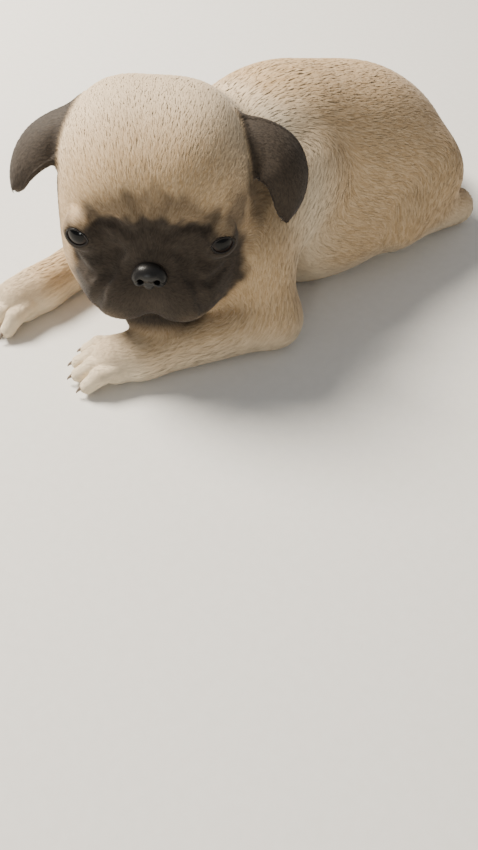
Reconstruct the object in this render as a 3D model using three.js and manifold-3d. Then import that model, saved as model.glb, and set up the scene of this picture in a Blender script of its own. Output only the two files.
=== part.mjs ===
// A pug puppy lying on its belly, life-size, in millimetres.
// The body faces -Y, its left side is +X and up is +Z. The head is turned to its left and droops a little.
// Each part of the body is a smooth blend of round forms. The blend is turned into a closed mesh,
// and neighbouring parts are separated by thin cuts.

import * as THREE from "three";
import { mergeVertices } from "three/addons/utils/BufferGeometryUtils.js";
import Module from "manifold-3d";

const wasm = await Module();
wasm.setup();
const { Manifold, Mesh } = wasm;

// Gap between neighbouring parts
const CUT = 0.3;
// Level of the floor that the belly, elbows and feet are pressed flat on
const FLOOR = 0;

// Size of the facets on each kind of part
const FACET = {
  torso: 12,
  leg: 7.5,
  forepaw: 3.7,
  hindpaw: 4.6,
  skull: 6.4,
  face: 3.9,
  nose: 2.1,
  jaw: 5,
  tail: 5.2,
  cut: 7.5,
  footCut: 6,
};

// Smooth union and smooth cut of two distances, over a fillet of width k
function blend(a, b, k) {
  const h = Math.max(k - Math.abs(a - b), 0) / k;
  return Math.min(a, b) - h * h * k * 0.25;
}

function carve(a, b, k) {
  return -blend(-a, b, k);
}

// Round forms, each a function that gives the distance from a point to its surface
function ball(centre, radii, turn = [0, 0, 0]) {
  const [rx, ry, rz] = Array.isArray(radii) ? radii : [radii, radii, radii];
  const e = new THREE.Matrix4()
    .makeRotationFromEuler(new THREE.Euler(...turn.map(THREE.MathUtils.degToRad)))
    .transpose().elements;
  return (x, y, z) => {
    const px = x - centre[0];
    const py = y - centre[1];
    const pz = z - centre[2];
    const qx = e[0] * px + e[4] * py + e[8] * pz;
    const qy = e[1] * px + e[5] * py + e[9] * pz;
    const qz = e[2] * px + e[6] * py + e[10] * pz;
    const k0 = Math.hypot(qx / rx, qy / ry, qz / rz);
    const k1 = Math.hypot(qx / (rx * rx), qy / (ry * ry), qz / (rz * rz));
    return k1 < 1e-9 ? -Math.min(rx, ry, rz) : (k0 * (k0 - 1)) / k1;
  };
}

function limb(a, b, ra, rb) {
  const bax = b[0] - a[0];
  const bay = b[1] - a[1];
  const baz = b[2] - a[2];
  const l2 = bax * bax + bay * bay + baz * baz;
  const rr = ra - rb;
  const a2 = l2 - rr * rr;
  const il2 = 1 / l2;
  return (x, y, z) => {
    const pax = x - a[0];
    const pay = y - a[1];
    const paz = z - a[2];
    const t = pax * bax + pay * bay + paz * baz;
    const s = t - l2;
    const cx = pax * l2 - bax * t;
    const cy = pay * l2 - bay * t;
    const cz = paz * l2 - baz * t;
    const x2 = cx * cx + cy * cy + cz * cz;
    const y2 = t * t * l2;
    const z2 = s * s * l2;
    const k = Math.sign(rr) * rr * rr * x2;
    if (Math.sign(s) * a2 * z2 > k) return Math.sqrt(x2 + z2) * il2 - rb;
    if (Math.sign(t) * a2 * y2 < k) return Math.sqrt(x2 + y2) * il2 - ra;
    return (Math.sqrt(x2 * a2 * il2) + t * rr) * il2 - ra;
  };
}

// Several forms joined by fillets of width k
function joined(k, ...forms) {
  return (x, y, z) => {
    let d = forms[0](x, y, z);
    for (let i = 1; i < forms.length; i++) d = blend(d, forms[i](x, y, z), k);
    return d;
  };
}

// A form made in its own frame and carried to its place by a matrix
function placed(form, matrix) {
  const e = matrix.clone().invert().elements;
  return (x, y, z) =>
    form(
      e[0] * x + e[4] * y + e[8] * z + e[12],
      e[1] * x + e[5] * y + e[9] * z + e[13],
      e[2] * x + e[6] * y + e[10] * z + e[14],
    );
}

function placing(position, yaw = 0, pitch = 0, roll = 0) {
  const turn = new THREE.Euler(
    ...[pitch, roll, yaw].map(THREE.MathUtils.degToRad),
    "ZXY",
  );
  return new THREE.Matrix4()
    .makeRotationFromEuler(turn)
    .setPosition(...position);
}

// The head in its own frame: the face looks along -Y, and the origin is the middle of the skull
const HEAD_AT = [9, -116, 64];
const HEAD_YAW = 56;
const HEAD_PITCH = 5;
const HEAD_ROLL = 4;
const headPlace = placing(HEAD_AT, HEAD_YAW, HEAD_PITCH, HEAD_ROLL);

const EYE_RADIUS = 7;
const EYE_AT = [25.3, -30.5, 3.5];
const EYE_OPENING = { width: 11, height: 7.2, slant: 20 };
const LID_THICK = 1.7;
const NOSE_AT = [0, -45.4, -4.8];
const NOSE_SIZE = [13.5, 9, 11];

const sides = [-1, 1];
const SIDE_NAME = { "-1": "right", 1: "left" };

function skullForm() {
  const forms = [
    ball([0, 5, 5], [37, 39, 34]),
    ball([0, -14, 8], [31, 24, 25]),
  ];
  for (const s of sides) {
    forms.push(ball([s * 14, 4, 16], [21, 30, 22]));
    forms.push(ball([s * 21, -6, -13], [18, 25, 23]));
    forms.push(ball([s * 19, -18, -22], [14, 17, 16]));
  }
  return joined(14, ...forms);
}

function muzzleForm() {
  const bridge = ball([0, -35, -2], [12, 9, 7]);
  const flews = sides.map((s) =>
    ball([s * 12, -34, -20], [16, 15, 16.5], [0, s * 14, 0]),
  );
  return joined(6, bridge, ...flews, ball([0, -30, -15], [21, 14, 14]));
}

const skull = skullForm();
const muzzle = muzzleForm();
const throat = ball([0, -6, -26], [24, 24, 15]);
const chin = joined(
  7,
  ball([0, -33, -36], [14, 12, 9]),
  ball([0, -18, -33], [19, 15, 10]),
);
const lids = sides.map((s) =>
  ball([s * EYE_AT[0], EYE_AT[1], EYE_AT[2]], EYE_RADIUS + LID_THICK),
);
const eyeOpenings = sides.map((s) => {
  const [ex, ey, ez] = EYE_AT;
  const { width, height, slant } = EYE_OPENING;
  return ball(
    [s * (ex + EYE_RADIUS * 0.4), ey - EYE_RADIUS * 0.9, ez],
    [width / 2, 6.5, height / 2],
    [0, s * 8, s * slant],
  );
});

// Creases between the muzzle and the forehead, and the split of the upper lip
const creases = [
  limb([-14, -39, 1], [-6, -44, 6], 1.6, 1.8),
  limb([-6, -44, 6], [6, -44, 6], 1.8, 1.8),
  limb([6, -44, 6], [14, -39, 1], 1.8, 1.6),
  limb([0, -50, -12], [0, -49, -28], 1.2, 1.2),
];

function upperHead(x, y, z) {
  let d = blend(skull(x, y, z), muzzle(x, y, z), 8);
  d = blend(d, throat(x, y, z), 10);
  for (const lid of lids) d = blend(d, lid(x, y, z), 3);
  for (const crease of creases) d = carve(d, crease(x, y, z), 2);
  for (const opening of eyeOpenings) d = carve(d, opening(x, y, z), 1);
  return d;
}

const nose = ball(NOSE_AT, NOSE_SIZE.map((v) => v / 2));
const nostrils = sides.map((s) =>
  limb([s * 2.8, -52, -4], [s * 4.8, -50.3, -2.6], 1.3, 0.7),
);

function noseWithNostrils(x, y, z) {
  let d = nose(x, y, z);
  for (const nostril of nostrils) d = carve(d, nostril(x, y, z), 0.6);
  return d;
}

const headOwn = placed((x, y, z) => Math.min(upperHead(x, y, z), chin(x, y, z)), headPlace);

// Ears: the middle line of the flap from its base over the fold to the tip, in the head's frame
const EARS = {
  right: {
    base: [-35, 5, 25],
    fold: [-57, 0, 17],
    tip: [-57, -7, 1],
    facing: [-0.75, -0.45, 0.45],
  },
  left: {
    base: [35, 2, 23],
    fold: [59, -8, 28],
    tip: [54, -14, -1],
    facing: [0.45, -0.75, 0.45],
  },
};
const EAR_WIDTH = 20;
const EAR_THICK = { base: 3.2, tip: 1.8 };
const EAR_CUP = 4;

// The trunk in the body's frame
const torso = joined(
  16,
  ball([-2, -38, 38], [44, 48, 53]),
  ball([-2, -3, 34], [45, 45, 48]),
  ball([-1, 21, 27], [39, 32, 36]),
  ball([0, -74, 34], [32, 22, 30]),
  ball([2, -30, 22], [44, 46, 26]),
  ball([33, -97, 24], [15, 17, 11]),
);
const neck = limb([0, -62, 56], [4, -98, 60], 32, 31);
const trunk = joined(22, torso, neck);
const NECK_CUT = { at: [0, -80, 62], normal: [0, -0.75, 0.66] };

// Tail: let down behind the rump and curled to its right, as centre and radius
const TAIL = [
  [-2, 46, 36, 9],
  [-7, 60, 26, 7.8],
  [-17, 70, 15, 7],
  [-30, 72, 8, 6.2],
  [-41, 67, 5.5, 5],
];

function tailForm() {
  const forms = [];
  for (let i = 1; i < TAIL.length; i++) {
    const [a, b] = [TAIL[i - 1], TAIL[i]];
    forms.push(limb(a.slice(0, 3), b.slice(0, 3), a[3], b[3]));
  }
  return joined(3, ...forms);
}

const tail = tailForm();

// Forelegs: shoulder blade, shoulder, elbow and wrist, and the turn of the paw
const FORELEGS = {
  left: {
    blade: [27, -52, 58],
    shoulder: [39, -86, 38],
    elbow: [54, -87, 12],
    wrist: [39, -146, 9],
    pawTurn: -27,
  },
  right: {
    blade: [-27, -52, 58],
    shoulder: [-36, -88, 36],
    elbow: [-41, -98, 14],
    wrist: [-27, -164, 9],
    pawTurn: 4,
  },
};

// Hind legs, folded beside the belly: hip, knee, hock, and the paw's start and turn
const HINDLEGS = {
  left: {
    hip: [24, 24, 31],
    knee: [36, 0, 22],
    hock: [33, 48, 9],
    paw: [29.5, 27, 8],
    pawTurn: -7,
  },
  right: {
    hip: [-24, 24, 31],
    knee: [-36, 0, 22],
    hock: [-33, 48, 9],
    paw: [-29.5, 27, 8],
    pawTurn: 7,
  },
};

const FOREPAW = { width: 27, length: 32 };
const HINDPAW = { width: 21, length: 30 };
const TOES = [-1.5, -0.5, 0.5, 1.5];
const CLAW = { length: 7.2, radius: 1.3, drop: 26, least: 1.2 };

// Where toe t (from -1.5 to 1.5) has its knuckle and its tip, in the paw's frame: the origin is on
// the floor under the start of the paw, and the toes point along -Y
function toe(t, { width, length }) {
  const x = (t * width) / 4;
  const reach = Math.abs(t) < 1 ? length : length * 0.88;
  return {
    root: [x * 0.8, -reach * 0.4, 9.5],
    knuckle: [x * 0.98, -reach * 0.66, 8.4],
    tip: [x * 1.12, -reach + 4, 4.4],
  };
}

function pawForm(size) {
  const { width, length } = size;
  const forms = [
    limb([0, 3, 10], [0, -length * 0.34, 9], 9.2, width * 0.39),
    ball([0, -length * 0.36, 5], [width * 0.41, 9, 6]),
  ];
  for (const t of TOES) {
    const { root, knuckle, tip } = toe(t, size);
    forms.push(limb(root, knuckle, 4.4, 4.1), limb(knuckle, tip, 4.1, 3.6));
  }
  return joined(1.4, ...forms);
}

function forelegParts({ blade, shoulder, elbow, wrist, pawTurn }) {
  const place = placing([wrist[0], wrist[1], FLOOR], pawTurn);
  const upper = joined(8, limb(blade, shoulder, 17, 16), limb(shoulder, elbow, 15.5, 13));
  const lower = limb(elbow, wrist, 13, 10.5);
  const paw = placed(pawForm(FOREPAW), place);
  return { place, own: joined(6, upper, lower, paw) };
}

function hindlegParts({ hip, knee, hock, paw, pawTurn }) {
  const place = placing([paw[0], paw[1], FLOOR], pawTurn);
  const thigh = joined(8, limb(hip, knee, 23, 15), limb(knee, hock, 13, 9.5));
  const foot = joined(4, limb(hock, paw, 8.6, 8.6), placed(pawForm(HINDPAW), place));
  return { place, thigh, foot, own: joined(5, thigh, foot) };
}

// The closed mesh of a form, on a grid of cubic cells: one vertex in each cell that the surface
// crosses, and one square across each cell edge that it crosses.
function surface(form, low, high, cell) {
  const first = low.map((v) => Math.floor(v / cell));
  const last = high.map((v) => Math.ceil(v / cell));
  const [nx, ny, nz] = first.map((v, i) => last[i] - v + 1);
  const at = (i, j, k) => (k * ny + j) * nx + i;
  const value = new Float64Array(nx * ny * nz);
  for (let k = 0; k < nz; k++) {
    for (let j = 0; j < ny; j++) {
      for (let i = 0; i < nx; i++) {
        const rim = !i || !j || !k || i === nx - 1 || j === ny - 1 || k === nz - 1;
        const d = form((first[0] + i) * cell, (first[1] + j) * cell, (first[2] + k) * cell);
        value[at(i, j, k)] = rim ? Math.max(d, cell * 0.01) : d;
      }
    }
  }
  clearCrossings(value, nx, ny, nz, at);

  const positions = [];
  const vertexOf = new Map();
  const corners = [0, 1, 2, 3, 4, 5, 6, 7].map((c) => [c & 1, (c >> 1) & 1, c >> 2]);
  for (let k = 0; k < nz - 1; k++) {
    for (let j = 0; j < ny - 1; j++) {
      for (let i = 0; i < nx - 1; i++) {
        const v = corners.map(([a, b, c]) => value[at(i + a, j + b, k + c)]);
        const inside = v.filter((d) => d < 0).length;
        if (!inside || inside === 8) continue;
        const sum = [0, 0, 0];
        let crossings = 0;
        for (let a = 0; a < 8; a++) {
          for (const bit of [1, 2, 4]) {
            const b = a | bit;
            if (b === a || v[a] < 0 === v[b] < 0) continue;
            const t = v[a] / (v[a] - v[b]);
            for (let axis = 0; axis < 3; axis++) {
              sum[axis] += corners[a][axis] + t * (corners[b][axis] - corners[a][axis]);
            }
            crossings++;
          }
        }
        vertexOf.set(at(i, j, k), positions.length / 3);
        const near = [i, j, k].map((n, axis) => (first[axis] + n + sum[axis] / crossings) * cell);
        positions.push(...drawnTo(form, near, cell));
      }
    }
  }

  const triangles = [];
  const step = [1, nx, nx * ny];
  for (let k = 0; k < nz - 1; k++) {
    for (let j = 0; j < ny - 1; j++) {
      for (let i = 0; i < nx - 1; i++) {
        const here = at(i, j, k);
        for (let axis = 0; axis < 3; axis++) {
          const there = here + step[axis];
          if (value[here] < 0 === value[there] < 0) continue;
          const u = step[(axis + 1) % 3];
          const w = step[(axis + 2) % 3];
          const ring = [here, here - u, here - u - w, here - w].map((c) => vertexOf.get(c));
          if (value[here] >= 0) ring.reverse();
          triangles.push(ring[0], ring[1], ring[2], ring[0], ring[2], ring[3]);
        }
      }
    }
  }
  return new Manifold(
    new Mesh({
      numProp: 3,
      vertProperties: new Float32Array(positions),
      triVerts: new Uint32Array(triangles),
    }),
  );
}

// A point moved onto the form along the steepest way, by less than half a cell
function drawnTo(form, point, cell) {
  let p = point;
  for (let round = 0; round < 2; round++) {
    const d = form(...p);
    if (Math.abs(d) > cell / 2) return point;
    const h = cell * 0.05;
    const slope = [0, 1, 2].map((axis) => {
      const q = p.slice();
      q[axis] += h;
      return (form(...q) - d) / h;
    });
    const steep = Math.max(slope.reduce((sum, g) => sum + g * g, 0), 0.2);
    p = p.map((v, axis) => v - (d * slope[axis]) / steep);
  }
  const moved = Math.hypot(...p.map((v, axis) => v - point[axis]));
  return moved < cell / 2 ? p : point;
}

// Where the four corners of a grid face alternate between inside and outside, the mesh would pinch:
// the inner corner nearest to the surface is let out, until no such face is left.
function clearCrossings(value, nx, ny, nz, at) {
  let changed = true;
  while (changed) {
    changed = false;
    for (let k = 0; k < nz - 1; k++) {
      for (let j = 0; j < ny - 1; j++) {
        for (let i = 0; i < nx - 1; i++) {
          const faces = [
            [at(i, j, k), at(i + 1, j, k), at(i + 1, j + 1, k), at(i, j + 1, k)],
            [at(i, j, k), at(i + 1, j, k), at(i + 1, j, k + 1), at(i, j, k + 1)],
            [at(i, j, k), at(i, j + 1, k), at(i, j + 1, k + 1), at(i, j, k + 1)],
          ];
          for (const face of faces) {
            const [a, b, c, d] = face.map((n) => value[n] < 0);
            if (a !== c || b !== d || a === b) continue;
            const inner = face.filter((n) => value[n] < 0);
            value[value[inner[0]] > value[inner[1]] ? inner[0] : inner[1]] = 1e-3;
            changed = true;
          }
        }
      }
    }
  }
}

function largest(solid) {
  return solid.decompose().reduce((a, b) => (b.volume() > a.volume() ? b : a));
}

// A solid pressed flat where it meets the floor
function settled(solid) {
  return largest(solid.trimByPlane([0, 0, 1], FLOOR));
}

function offset(form, distance) {
  return (x, y, z) => form(x, y, z) - distance;
}

// The side of a plane through a point that its normal points to
function beyond(solid, { at, normal }, gap = CUT / 2) {
  const n = new THREE.Vector3(...normal).normalize();
  return solid.trimByPlane(n.toArray(), n.dot(new THREE.Vector3(...at)) + gap);
}

function before(solid, { at, normal }) {
  return beyond(solid, { at, normal: normal.map((v) => -v) });
}

// A plane across a joint, halfway between the two bones that meet there
function mitre(a, joint, b) {
  const p = new THREE.Vector3(...joint);
  const into = p.clone().sub(new THREE.Vector3(...a)).normalize();
  const out = new THREE.Vector3(...b).sub(p).normalize();
  return { at: joint, normal: into.add(out).normalize().toArray() };
}

const group = new THREE.Group();
const headGroup = new THREE.Group();
headGroup.applyMatrix4(headPlace);
group.add(headGroup);

const COAT = new THREE.MeshStandardMaterial({ color: "#b39a78", roughness: 0.95, metalness: 0 });
const MASK = new THREE.MeshStandardMaterial({ color: "#3a342c", roughness: 0.95, metalness: 0 });
const NOSE = new THREE.MeshStandardMaterial({ color: "#1d1b1a", roughness: 0.45, metalness: 0 });
const EYE = new THREE.MeshStandardMaterial({ color: "#14100e", roughness: 0.05, metalness: 0 });
const HORN = new THREE.MeshStandardMaterial({ color: "#2b2622", roughness: 0.4, metalness: 0 });

function add(name, solid, material, parent = group) {
  const { vertProperties, triVerts, numProp } = solid.getMesh();
  if (numProp !== 3) throw new Error(`${name} has extra properties`);
  const geometry = new THREE.BufferGeometry()
    .setAttribute("position", new THREE.BufferAttribute(vertProperties, 3))
    .setIndex(new THREE.BufferAttribute(triVerts, 1));
  geometry.computeVertexNormals();
  const mesh = new THREE.Mesh(geometry, material.clone());
  mesh.name = name;
  parent.add(mesh);
}

function solidOf(geometry) {
  const bare = new THREE.BufferGeometry()
    .setAttribute("position", geometry.getAttribute("position"))
    .setIndex(geometry.index);
  const merged = mergeVertices(bare, 1e-4);
  return new Manifold(
    new Mesh({
      numProp: 3,
      vertProperties: new Float32Array(merged.attributes.position.array),
      triVerts: new Uint32Array(merged.index.array),
    }),
  );
}

// The solid of a deformed box, with its faces turned outward
function outward(geometry) {
  const solid = solidOf(geometry);
  if (solid.volume() > 0) return solid;
  const index = geometry.index.array;
  for (let i = 0; i < index.length; i += 3) [index[i], index[i + 1]] = [index[i + 1], index[i]];
  return solidOf(geometry);
}

// Trunk, legs and tail meet where the one form is as near as the other
const BODY_LOW = [-64, -112, -8];
const BODY_HIGH = [64, 92, 100];
const legs = {
  foreleg_left: forelegParts(FORELEGS.left),
  foreleg_right: forelegParts(FORELEGS.right),
  hindleg_left: hindlegParts(HINDLEGS.left),
  hindleg_right: hindlegParts(HINDLEGS.right),
};

function body(x, y, z) {
  let d = trunk(x, y, z);
  for (const leg of Object.values(legs)) d = blend(d, leg.own(x, y, z), 8);
  return blend(d, tail(x, y, z), 5);
}

// The share of a limb in the body: the points that are nearer to it than to the trunk
function share(own, low, high, gap, cell = FACET.cut) {
  return surface((x, y, z) => own(x, y, z) - trunk(x, y, z) - gap, low, high, cell);
}

const FORE_LOW = [-64, -205, -8];
const FORE_HIGH = [64, -20, 92];
const HIND_LOW = [-78, -24, -8];
const HIND_HIGH = [78, 92, 92];
const TAIL_LOW = [-54, 32, -6];
const TAIL_HIGH = [18, 86, 54];
const HEAD_LOW = [-60, -180, 0];
const HEAD_HIGH = [70, -50, 120];

// A claw: a tapered rod that bends down, from inside the tip of its toe
function clawSolid({ knuckle, tip }) {
  const geometry = new THREE.BoxGeometry(1, 1, 1, 2, 2, 2);
  const p = geometry.getAttribute("position");
  const out = new THREE.Vector3(...tip).sub(new THREE.Vector3(...knuckle)).setZ(0).normalize();
  const across = new THREE.Vector3(-out.y, out.x, 0);
  const up = new THREE.Vector3(0, 0, 1);
  for (let i = 0; i < p.count; i++) {
    const along = p.getY(i) + 0.5;
    const [sx, sz] = [p.getX(i) * 2, p.getZ(i) * 2];
    const round = Math.max(Math.abs(sx), Math.abs(sz)) / Math.max(Math.hypot(sx, sz), 1e-6);
    const r = CLAW.radius * (1 - 0.7 * along);
    const fall = THREE.MathUtils.degToRad(CLAW.drop * along);
    const v = new THREE.Vector3(...tip)
      .addScaledVector(out, CLAW.length * along * Math.cos(fall))
      .addScaledVector(across, sx * round * r)
      .addScaledVector(up, 0.8 - CLAW.length * along * Math.sin(fall) * 0.7 + sz * round * r);
    p.setXYZ(i, v.x, v.y, v.z);
  }
  return outward(geometry);
}

// The claws of a paw, cut where they leave the fur of the toes. A claw that the belly covers is left out.
function addClaws(name, size, place, pawGrown) {
  TOES.forEach((t, n) => {
    const claw = clawSolid(toe(t, size)).transform(place.elements).subtract(pawGrown);
    if (claw.volume() > CLAW.least) add(`claw_${name}_${n + 1}`, settled(claw), HORN);
  });
}

// What the head and the ears keep clear of, in the head's frame
const headInverse = headPlace.clone().invert();
const keptClear = [surface(offset(body, CUT), BODY_LOW, BODY_HIGH, FACET.torso)];

// The solids that lie against the trunk
const beside = [];

// Forelegs, split at the elbow and the wrist
for (const side of ["left", "right"]) {
  const { blade, shoulder, elbow, wrist } = FORELEGS[side];
  const { own, place } = legs[`foreleg_${side}`];
  const ahead = new THREE.Vector3(0, -1, 0).transformDirection(place).toArray();
  const wristCut = { at: wrist, normal: ahead };
  const elbowCut = mitre(shoulder, elbow, wrist);
  const part = share(own, FORE_LOW, FORE_HIGH, -CUT / 2);
  const skin = (x, y, z) => blend(trunk(x, y, z), own(x, y, z), 8);
  const coarse = surface(skin, FORE_LOW, FORE_HIGH, FACET.leg).intersect(part);
  keptClear.push(surface(offset(skin, CUT * 2), FORE_LOW, FORE_HIGH, FACET.leg));
  const pawBox = [
    [wrist[0] - 30, wrist[1] - 48, -6],
    [wrist[0] + 30, wrist[1] + 24, 30],
  ];
  const fine = surface(own, ...pawBox, FACET.forepaw);
  beside.push(coarse);
  add(`upper_foreleg_${side}`, settled(before(coarse, elbowCut)), COAT);
  add(`forearm_${side}`, settled(before(beyond(coarse, elbowCut), wristCut)), COAT);
  add(`forepaw_${side}`, settled(beyond(fine, wristCut)), COAT);
  addClaws(`fore_${side}`, FOREPAW, place, surface(offset(own, CUT * 2), ...pawBox, FACET.forepaw));
}

// Hind legs, split where the foot lies against the thigh
for (const side of ["left", "right"]) {
  const { own, thigh, foot, place } = legs[`hindleg_${side}`];
  const [x, y] = HINDLEGS[side].paw;
  const low = [x - 28, -14, -6];
  const high = [x + 28, 78, 34];
  const part = share(own, HIND_LOW, HIND_HIGH, -CUT / 2);
  const skin = (px, py, pz) => blend(trunk(px, py, pz), own(px, py, pz), 8);
  const footShare = (gap) =>
    surface((px, py, pz) => foot(px, py, pz) - thigh(px, py, pz) - gap, low, high, FACET.footCut);
  const coarse = surface(skin, HIND_LOW, HIND_HIGH, FACET.leg).intersect(part);
  const fine = surface(skin, low, high, FACET.hindpaw);
  const footSolid = fine.intersect(part).intersect(footShare(-CUT));
  beside.push(coarse, footSolid);
  add(`thigh_${side}`, settled(coarse.subtract(footShare(CUT)).subtract(footSolid)), COAT);
  add(`hindfoot_${side}`, settled(footSolid), COAT);
  const grown = surface(offset(skin, CUT * 2), low, high, FACET.hindpaw);
  addClaws(`hind_${side}`, HINDPAW, place, grown);
}

// Trunk, cut by the limbs, the tail and the head
let trunkSolid = surface(body, BODY_LOW, BODY_HIGH, FACET.torso);
const cutters = [
  [legs.foreleg_left.own, FORE_LOW, FORE_HIGH],
  [legs.foreleg_right.own, FORE_LOW, FORE_HIGH],
  [legs.hindleg_left.own, HIND_LOW, HIND_HIGH],
  [legs.hindleg_right.own, HIND_LOW, HIND_HIGH],
  [tail, TAIL_LOW, TAIL_HIGH, FACET.tail],
  [headOwn, HEAD_LOW, HEAD_HIGH],
];
for (const [own, low, high, cell] of cutters) {
  trunkSolid = trunkSolid.subtract(share(own, low, high, CUT * 0.7, cell));
}
const tailShare = share(tail, TAIL_LOW, TAIL_HIGH, -CUT / 2, FACET.tail);
const tailSolid = surface(body, TAIL_LOW, TAIL_HIGH, FACET.tail).intersect(tailShare);
beside.push(tailSolid);
trunkSolid = beside.reduce((rest, solid) => rest.subtract(solid), trunkSolid);
add("tail", settled(tailSolid), COAT);
add("torso", settled(before(trunkSolid, NECK_CUT)), COAT);
add("neck", settled(beyond(trunkSolid, NECK_CUT)), COAT);

// Head, in its own frame: a fine face and a coarser skull meet on a plane
const FACE_PLANE = -16;
const headLow = [-52, -62, -50];
const headHigh = [52, 60, 56];
const headShare = share(headOwn, HEAD_LOW, HEAD_HIGH, -CUT / 2).transform(headInverse.elements);
const [trunkClear, ...legsClear] = keptClear.map((s) => s.transform(headInverse.elements));
const clearOfLegs = (solid) => legsClear.reduce((a, b) => a.subtract(b), solid);
const face = surface(upperHead, headLow, [52, FACE_PLANE + 4, 56], FACET.face);
const back = surface(upperHead, [-52, FACE_PLANE - 8, -50], headHigh, FACET.skull);
const overlap = 0.01;
let headSolid = face
  .trimByPlane([0, -1, 0], -FACE_PLANE - overlap)
  .add(back.trimByPlane([0, 1, 0], FACE_PLANE - overlap))
  .intersect(headShare);
const jawBox = [[-26, -52, -46], [26, 4, -10]];
const noseBox = [[-12, -56, -16], [12, -38, 4]];
const jawSolid = surface(chin, ...jawBox, FACET.jaw).subtract(
  surface(offset(upperHead, CUT), ...jawBox, FACET.face),
);
add("lower_jaw", largest(clearOfLegs(jawSolid)), MASK, headGroup);
headSolid = headSolid.subtract(surface(offset(nose, CUT), ...noseBox, FACET.nose));
add("nose", largest(surface(noseWithNostrils, ...noseBox, FACET.nose)), NOSE, headGroup);
for (const s of sides) {
  const [ex, ey, ez] = EYE_AT;
  const place = new THREE.Matrix4().makeTranslation(s * ex, ey, ez);
  const eye = (radius) =>
    solidOf(new THREE.SphereGeometry(radius, 16, 10)).transform(place.elements);
  add(`eye_${SIDE_NAME[s]}`, eye(EYE_RADIUS), EYE, headGroup);
  headSolid = headSolid.subtract(eye(EYE_RADIUS + CUT));
}
add("head", largest(clearOfLegs(headSolid)), COAT, headGroup);

// One ear: a thin flap along a curve, cupped towards the head
function earSolid({ base, fold, tip, facing }) {
  const curve = new THREE.QuadraticBezierCurve3(
    new THREE.Vector3(...base),
    new THREE.Vector3(...fold),
    new THREE.Vector3(...tip),
  );
  const geometry = new THREE.BoxGeometry(1, 1, 1, 10, 6, 1);
  const p = geometry.getAttribute("position");
  for (let i = 0; i < p.count; i++) {
    const u = p.getX(i) + 0.5;
    const v = p.getY(i) * 2;
    const at = curve.getPoint(u);
    const along = curve.getTangent(u);
    const across = new THREE.Vector3(...facing).cross(along).normalize();
    const normal = new THREE.Vector3().crossVectors(along, across);
    const taper = u < 0.3 ? 1 : Math.sqrt(1 - ((u - 0.3) / 0.74) ** 2);
    const half = (EAR_WIDTH / 2) * (0.86 + 0.14 * Math.min(u / 0.3, 1)) * taper;
    const thick = THREE.MathUtils.lerp(EAR_THICK.base, EAR_THICK.tip, u);
    const bend = -EAR_CUP * v * v * (1 - 0.5 * u);
    at.addScaledVector(across, half * v).addScaledVector(normal, bend + thick * p.getZ(i));
    p.setXYZ(i, at.x, at.y, at.z);
  }
  return outward(geometry);
}

const skullGrown = surface(offset(upperHead, CUT), [-52, -30, -10], headHigh, FACET.skull);
for (const s of sides) {
  const name = SIDE_NAME[s];
  const ear = clearOfLegs(earSolid(EARS[name]).subtract(skullGrown)).subtract(trunkClear);
  add(`ear_${name}`, largest(ear), MASK, headGroup);
}

// The origin is the middle of the underside of the bounding box
const box = new THREE.Box3().setFromObject(group, true);
group.position.set(-(box.min.x + box.max.x) / 2, -(box.min.y + box.max.y) / 2, -box.min.z);

export default group;
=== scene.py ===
import math

import bmesh
import bpy
import numpy as np
from mathutils import Matrix, Vector


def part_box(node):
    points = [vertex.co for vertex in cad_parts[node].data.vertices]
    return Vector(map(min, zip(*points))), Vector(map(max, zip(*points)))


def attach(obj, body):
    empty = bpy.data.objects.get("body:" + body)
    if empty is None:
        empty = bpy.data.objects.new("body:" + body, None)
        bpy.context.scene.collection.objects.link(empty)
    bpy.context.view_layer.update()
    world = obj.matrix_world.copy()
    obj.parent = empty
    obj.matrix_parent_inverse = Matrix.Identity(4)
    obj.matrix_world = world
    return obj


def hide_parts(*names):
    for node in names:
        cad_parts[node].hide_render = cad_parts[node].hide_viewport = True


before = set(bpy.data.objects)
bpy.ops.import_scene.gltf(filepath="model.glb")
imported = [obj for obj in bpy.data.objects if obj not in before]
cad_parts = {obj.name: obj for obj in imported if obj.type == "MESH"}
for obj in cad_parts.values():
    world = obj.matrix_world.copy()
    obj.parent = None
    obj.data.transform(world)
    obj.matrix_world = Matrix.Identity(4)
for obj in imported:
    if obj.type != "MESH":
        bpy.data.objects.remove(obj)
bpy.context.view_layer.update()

# A pug puppy that lies on its belly with its head turned to its left. Lengths are in millimetres in
# the puppy's own frame until a mesh is made: it faces -Y, its left side is +X and up is +Z.

MM = 0.001
SIDES = {"right": -1, "left": 1}

HEAD_AT = (9, -116, 64)
HEAD_TURN = {"yaw": 56, "pitch": 5, "roll": 4}
EYE_RADIUS = 7
EYE_AT = (25.3, -30.5, 3.5)
EYE_OPENING = {"half_width": 6.1, "upper": 4.1, "lower": 3.9, "slant": 3}
LID_THICK = 1.7
LID_RIM = {"radius": 0.4, "out": 7.8}
# The ball that shows between the lids is a little larger than its core, with the bulge of the cornea
EYE_SHOWN = {"radius": 7.5, "cornea": 0.06}
# The way out of the eye opening and the way the iris looks, for the left eye
EYE_OUT = (0.36, -0.91, 0.16)
EYE_GAZE = (0.3, -0.85, 0.34)
NOSE_AT = (0, -45.4, -4.8)
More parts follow.
